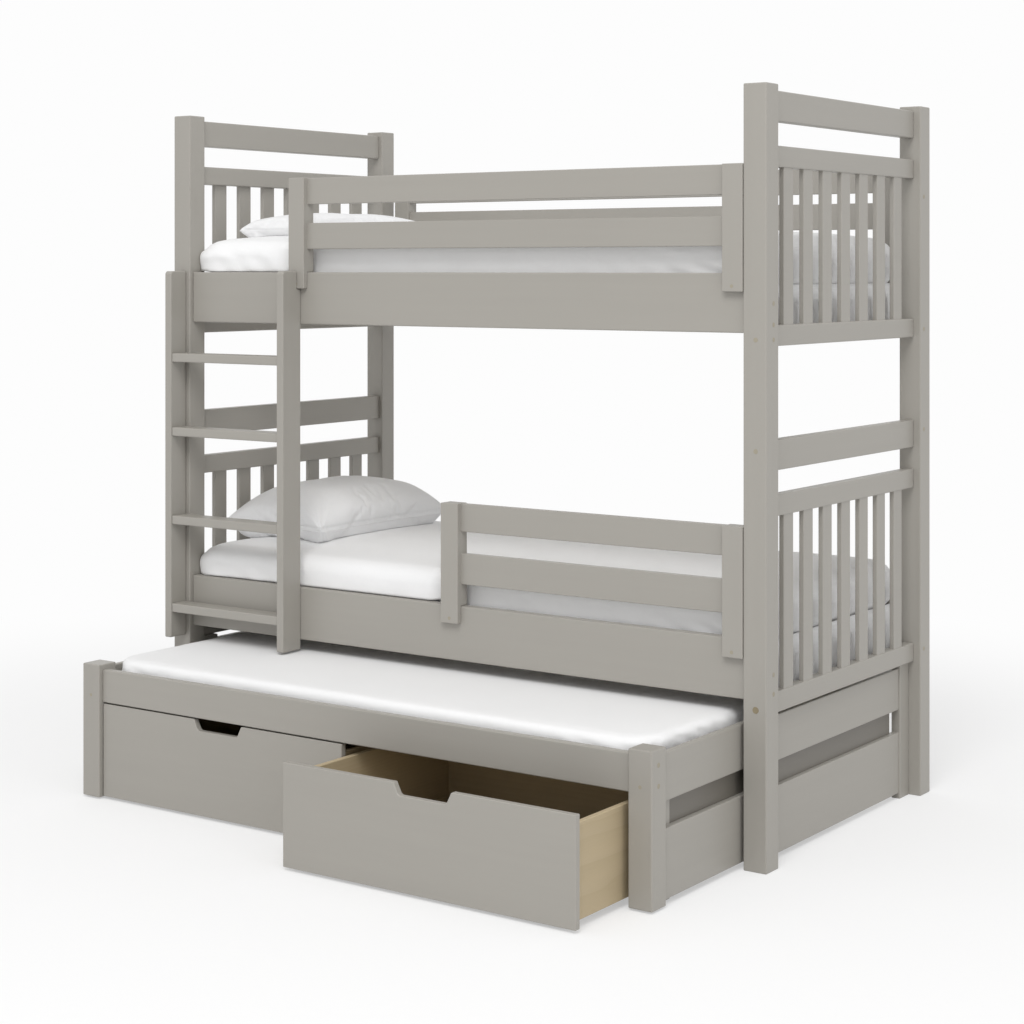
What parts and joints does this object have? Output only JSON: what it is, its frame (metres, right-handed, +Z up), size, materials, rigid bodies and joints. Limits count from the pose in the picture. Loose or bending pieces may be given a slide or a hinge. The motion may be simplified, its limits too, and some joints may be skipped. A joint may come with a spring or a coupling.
{
  "type": "triple bunk bed",
  "caption": "Bunk bed with a ladder, guard rails, and a low trundle bed that rolls out, with roll-out drawers under it.",
  "frame": {"origin": "on the floor, in the middle of the object as it stands, with the trundle part way out and one drawer open", "axes": "+X along the bed to the right, seen from the ladder's side; +Y to the back; +Z up"},
  "size_m": [2.012, 1.646, 1.955],
  "materials": {
    "painted_wood": "warm light grey satin paint over smooth pine",
    "bare_wood": "bare sanded pine",
    "mattress_cover": "plain white cotton",
    "pillow_cover": "plain off-white cotton",
    "wheel_plastic": "black moulded plastic"
  },
  "bodies": {
    "root": {"post_front_left": "painted_wood", "post_front_right": "painted_wood", "post_back_left": "painted_wood", "post_back_right": "painted_wood", "end_top_rail_upper_left": "painted_wood", "end_top_rail_upper_right": "painted_wood", "end_top_rail_lower_left": "painted_wood", "end_top_rail_lower_right": "painted_wood", "end_panel_upper_left": "painted_wood", "end_panel_upper_right": "painted_wood", "end_panel_lower_left": "painted_wood", "end_panel_lower_right": "painted_wood", "side_rail_upper_front": "painted_wood", "side_rail_upper_back": "painted_wood", "side_rail_lower_front": "painted_wood", "side_rail_lower_back": "painted_wood", "guard_upper_front": "painted_wood", "guard_lower_front": "painted_wood", "guard_upper_back": "painted_wood", "ladder_stile_left": "painted_wood", "ladder_stile_right": "painted_wood", "ladder_tread_1": "painted_wood", "ladder_tread_2": "painted_wood", "ladder_tread_3": "painted_wood", "ladder_tread_4": "painted_wood", "trundle_guide_left": "painted_wood", "trundle_guide_right": "painted_wood", "slat_base_upper": "bare_wood", "slat_base_lower": "bare_wood", "mattress_upper": "mattress_cover", "mattress_lower": "mattress_cover", "pillow_upper": "pillow_cover", "pillow_lower": "pillow_cover"},
    "trundle": {"trundle_post_front_left": "painted_wood", "trundle_post_front_right": "painted_wood", "trundle_post_back_left": "painted_wood", "trundle_post_back_right": "painted_wood", "trundle_rail_front": "painted_wood", "trundle_rail_back": "painted_wood", "trundle_end_left": "painted_wood", "trundle_end_right": "painted_wood", "trundle_slat_base": "bare_wood", "mattress_trundle": "mattress_cover"},
    "drawer_left": {"drawer_left_front": "painted_wood", "drawer_left_box": "bare_wood"},
    "drawer_right": {"drawer_right_front": "painted_wood", "drawer_right_box": "bare_wood"},
    "trundle_wheel_front_left": {"trundle_wheel_front_left": "wheel_plastic"},
    "trundle_wheel_front_right": {"trundle_wheel_front_right": "wheel_plastic"},
    "trundle_wheel_back_left": {"trundle_wheel_back_left": "wheel_plastic"},
    "trundle_wheel_back_right": {"trundle_wheel_back_right": "wheel_plastic"},
    "drawer_left_wheel_front_left": {"drawer_left_wheel_front_left": "wheel_plastic"},
    "drawer_left_wheel_front_right": {"drawer_left_wheel_front_right": "wheel_plastic"},
    "drawer_left_wheel_back_left": {"drawer_left_wheel_back_left": "wheel_plastic"},
    "drawer_left_wheel_back_right": {"drawer_left_wheel_back_right": "wheel_plastic"},
    "drawer_right_wheel_front_left": {"drawer_right_wheel_front_left": "wheel_plastic"},
    "drawer_right_wheel_front_right": {"drawer_right_wheel_front_right": "wheel_plastic"},
    "drawer_right_wheel_back_left": {"drawer_right_wheel_back_left": "wheel_plastic"},
    "drawer_right_wheel_back_right": {"drawer_right_wheel_back_right": "wheel_plastic"}
  },
  "joints": [
    {"name": "trundle_slide", "type": "slide", "parent": "root", "child": "trundle", "axis": [0, -1, 0], "range_m": [-0.434, 0.476]},
    {"name": "drawer_left_slide", "type": "slide", "parent": "trundle", "child": "drawer_left", "axis": [0, -1, 0], "range_m": [0, 0.5]},
    {"name": "drawer_right_slide", "type": "slide", "parent": "trundle", "child": "drawer_right", "axis": [0, -1, 0], "range_m": [-0.231, 0.269]},
    {"name": "trundle_wheel_front_left_turn", "type": "hinge", "parent": "trundle", "child": "trundle_wheel_front_left", "pos_m": [-0.884, -0.512, 0.025], "axis": [1, 0, 0], "continuous": true},
    {"name": "trundle_wheel_front_right_turn", "type": "hinge", "parent": "trundle", "child": "trundle_wheel_front_right", "pos_m": [0.884, -0.512, 0.025], "axis": [1, 0, 0], "continuous": true},
    {"name": "trundle_wheel_back_left_turn", "type": "hinge", "parent": "trundle", "child": "trundle_wheel_back_left", "pos_m": [-0.884, 0.276, 0.025], "axis": [1, 0, 0], "continuous": true},
    {"name": "trundle_wheel_back_right_turn", "type": "hinge", "parent": "trundle", "child": "trundle_wheel_back_right", "pos_m": [0.884, 0.276, 0.025], "axis": [1, 0, 0], "continuous": true},
    {"name": "drawer_left_wheel_front_left_turn", "type": "hinge", "parent": "drawer_left", "child": "drawer_left_wheel_front_left", "pos_m": [-0.811, -0.5137, 0.02], "axis": [1, 0, 0], "continuous": true},
    {"name": "drawer_left_wheel_front_right_turn", "type": "hinge", "parent": "drawer_left", "child": "drawer_left_wheel_front_right", "pos_m": [-0.0615, -0.5137, 0.02], "axis": [1, 0, 0], "continuous": true},
    {"name": "drawer_left_wheel_back_left_turn", "type": "hinge", "parent": "drawer_left", "child": "drawer_left_wheel_back_left", "pos_m": [-0.811, 0.0163, 0.02], "axis": [1, 0, 0], "continuous": true},
    {"name": "drawer_left_wheel_back_right_turn", "type": "hinge", "parent": "drawer_left", "child": "drawer_left_wheel_back_right", "pos_m": [-0.0615, 0.0163, 0.02], "axis": [1, 0, 0], "continuous": true},
    {"name": "drawer_right_wheel_front_left_turn", "type": "hinge", "parent": "drawer_right", "child": "drawer_right_wheel_front_left", "pos_m": [0.0615, -0.7447, 0.02], "axis": [1, 0, 0], "continuous": true},
    {"name": "drawer_right_wheel_front_right_turn", "type": "hinge", "parent": "drawer_right", "child": "drawer_right_wheel_front_right", "pos_m": [0.811, -0.7447, 0.02], "axis": [1, 0, 0], "continuous": true},
    {"name": "drawer_right_wheel_back_left_turn", "type": "hinge", "parent": "drawer_right", "child": "drawer_right_wheel_back_left", "pos_m": [0.0615, -0.2147, 0.02], "axis": [1, 0, 0], "continuous": true},
    {"name": "drawer_right_wheel_back_right_turn", "type": "hinge", "parent": "drawer_right", "child": "drawer_right_wheel_back_right", "pos_m": [0.811, -0.2147, 0.02], "axis": [1, 0, 0], "continuous": true}
  ],
  "couplings": [
    {"joint": "trundle_wheel_front_left_turn", "follows": "trundle_slide", "rad_per_m": 40},
    {"joint": "trundle_wheel_front_right_turn", "follows": "trundle_slide", "rad_per_m": 40},
    {"joint": "trundle_wheel_back_left_turn", "follows": "trundle_slide", "rad_per_m": 40},
    {"joint": "trundle_wheel_back_right_turn", "follows": "trundle_slide", "rad_per_m": 40},
    {"joint": "drawer_left_wheel_front_left_turn", "follows": "drawer_left_slide", "rad_per_m": 50},
    {"joint": "drawer_left_wheel_front_right_turn", "follows": "drawer_left_slide", "rad_per_m": 50},
    {"joint": "drawer_left_wheel_back_left_turn", "follows": "drawer_left_slide", "rad_per_m": 50},
    {"joint": "drawer_left_wheel_back_right_turn", "follows": "drawer_left_slide", "rad_per_m": 50},
    {"joint": "drawer_right_wheel_front_left_turn", "follows": "drawer_right_slide", "rad_per_m": 50},
    {"joint": "drawer_right_wheel_front_right_turn", "follows": "drawer_right_slide", "rad_per_m": 50},
    {"joint": "drawer_right_wheel_back_left_turn", "follows": "drawer_right_slide", "rad_per_m": 50},
    {"joint": "drawer_right_wheel_back_right_turn", "follows": "drawer_right_slide", "rad_per_m": 50}
  ]
}
